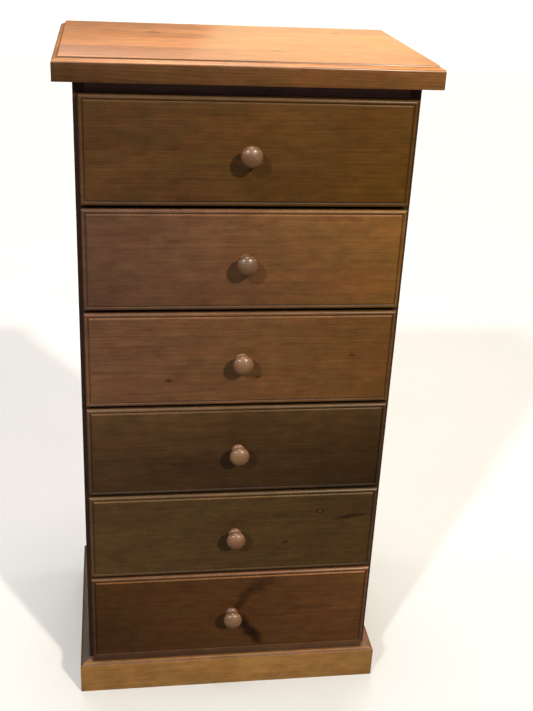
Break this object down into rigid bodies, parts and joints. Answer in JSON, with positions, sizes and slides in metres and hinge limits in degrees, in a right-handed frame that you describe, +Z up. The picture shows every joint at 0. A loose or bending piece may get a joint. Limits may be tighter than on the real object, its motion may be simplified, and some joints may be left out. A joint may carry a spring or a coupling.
{
  "type": "chest of drawers",
  "caption": "Tall narrow wooden chest with moulded top and plinth and a stack of sliding drawers, each opened by a round turned knob.",
  "frame": {"origin": "on the floor, in the middle of the box that the whole chest fills with its drawers shut", "axes": "+Z up, the drawers face -Y and slide out along it, +X is to the right when facing the back from the front"},
  "size_m": [0.6, 0.425, 1.2],
  "materials": {
    "top_wood": "stained pine, glossy varnish",
    "carcass_wood": "dark stained pine, satin varnish",
    "rail_wood": "dark stained pine, satin varnish",
    "plinth_wood": "golden stained pine, satin varnish",
    "front_1_wood": "stained pine, satin varnish",
    "front_2_wood": "stained pine, satin varnish",
    "front_3_wood": "stained pine, satin varnish",
    "front_4_wood": "olive-brown stained pine, satin varnish",
    "front_5_wood": "olive-brown stained pine, satin varnish",
    "front_6_wood": "dark red-brown stained pine, satin varnish",
    "knob_wood": "turned hardwood, satin varnish",
    "drawer_box_wood": "bare pine, lightly sealed",
    "thin_board": "thin plywood, bare",
    "screw_steel": "yellow zinc-plated"
  },
  "bodies": {
    "carcass": {"top_panel": "top_wood", "left_side_panel": "carcass_wood", "right_side_panel": "carcass_wood", "back_panel": "thin_board", "top_front_rail": "rail_wood", "top_back_rail": "drawer_box_wood", "divider_rail_1": "rail_wood", "divider_rail_2": "rail_wood", "divider_rail_3": "rail_wood", "divider_rail_4": "rail_wood", "divider_rail_5": "rail_wood", "bottom_front_rail": "rail_wood", "left_runners": "drawer_box_wood", "right_runners": "drawer_box_wood", "plinth_front": "plinth_wood", "plinth_left": "plinth_wood", "plinth_right": "plinth_wood", "back_panel_screws": "screw_steel"},
    "drawer_1": {"drawer_1_front": "front_1_wood", "drawer_1_left_side": "drawer_box_wood", "drawer_1_right_side": "drawer_box_wood", "drawer_1_back": "drawer_box_wood", "drawer_1_bottom": "thin_board", "drawer_1_knob": "knob_wood", "drawer_1_knob_screw": "screw_steel"},
    "drawer_2": {"drawer_2_front": "front_2_wood", "drawer_2_left_side": "drawer_box_wood", "drawer_2_right_side": "drawer_box_wood", "drawer_2_back": "drawer_box_wood", "drawer_2_bottom": "thin_board", "drawer_2_knob": "knob_wood", "drawer_2_knob_screw": "screw_steel"},
    "drawer_3": {"drawer_3_front": "front_3_wood", "drawer_3_left_side": "drawer_box_wood", "drawer_3_right_side": "drawer_box_wood", "drawer_3_back": "drawer_box_wood", "drawer_3_bottom": "thin_board", "drawer_3_knob": "knob_wood", "drawer_3_knob_screw": "screw_steel"},
    "drawer_4": {"drawer_4_front": "front_4_wood", "drawer_4_left_side": "drawer_box_wood", "drawer_4_right_side": "drawer_box_wood", "drawer_4_back": "drawer_box_wood", "drawer_4_bottom": "thin_board", "drawer_4_knob": "knob_wood", "drawer_4_knob_screw": "screw_steel"},
    "drawer_5": {"drawer_5_front": "front_5_wood", "drawer_5_left_side": "drawer_box_wood", "drawer_5_right_side": "drawer_box_wood", "drawer_5_back": "drawer_box_wood", "drawer_5_bottom": "thin_board", "drawer_5_knob": "knob_wood", "drawer_5_knob_screw": "screw_steel"},
    "drawer_6": {"drawer_6_front": "front_6_wood", "drawer_6_left_side": "drawer_box_wood", "drawer_6_right_side": "drawer_box_wood", "drawer_6_back": "drawer_box_wood", "drawer_6_bottom": "thin_board", "drawer_6_knob": "knob_wood", "drawer_6_knob_screw": "screw_steel"}
  },
  "joints": [
    {"name": "drawer_1_slide", "type": "slide", "parent": "carcass", "child": "drawer_1", "axis": [0, -1, 0], "range_m": [0, 0.28]},
    {"name": "drawer_2_slide", "type": "slide", "parent": "carcass", "child": "drawer_2", "axis": [0, -1, 0], "range_m": [0, 0.28]},
    {"name": "drawer_3_slide", "type": "slide", "parent": "carcass", "child": "drawer_3", "axis": [0, -1, 0], "range_m": [0, 0.28]},
    {"name": "drawer_4_slide", "type": "slide", "parent": "carcass", "child": "drawer_4", "axis": [0, -1, 0], "range_m": [0, 0.28]},
    {"name": "drawer_5_slide", "type": "slide", "parent": "carcass", "child": "drawer_5", "axis": [0, -1, 0], "range_m": [0, 0.28]},
    {"name": "drawer_6_slide", "type": "slide", "parent": "carcass", "child": "drawer_6", "axis": [0, -1, 0], "range_m": [0, 0.28]}
  ]
}
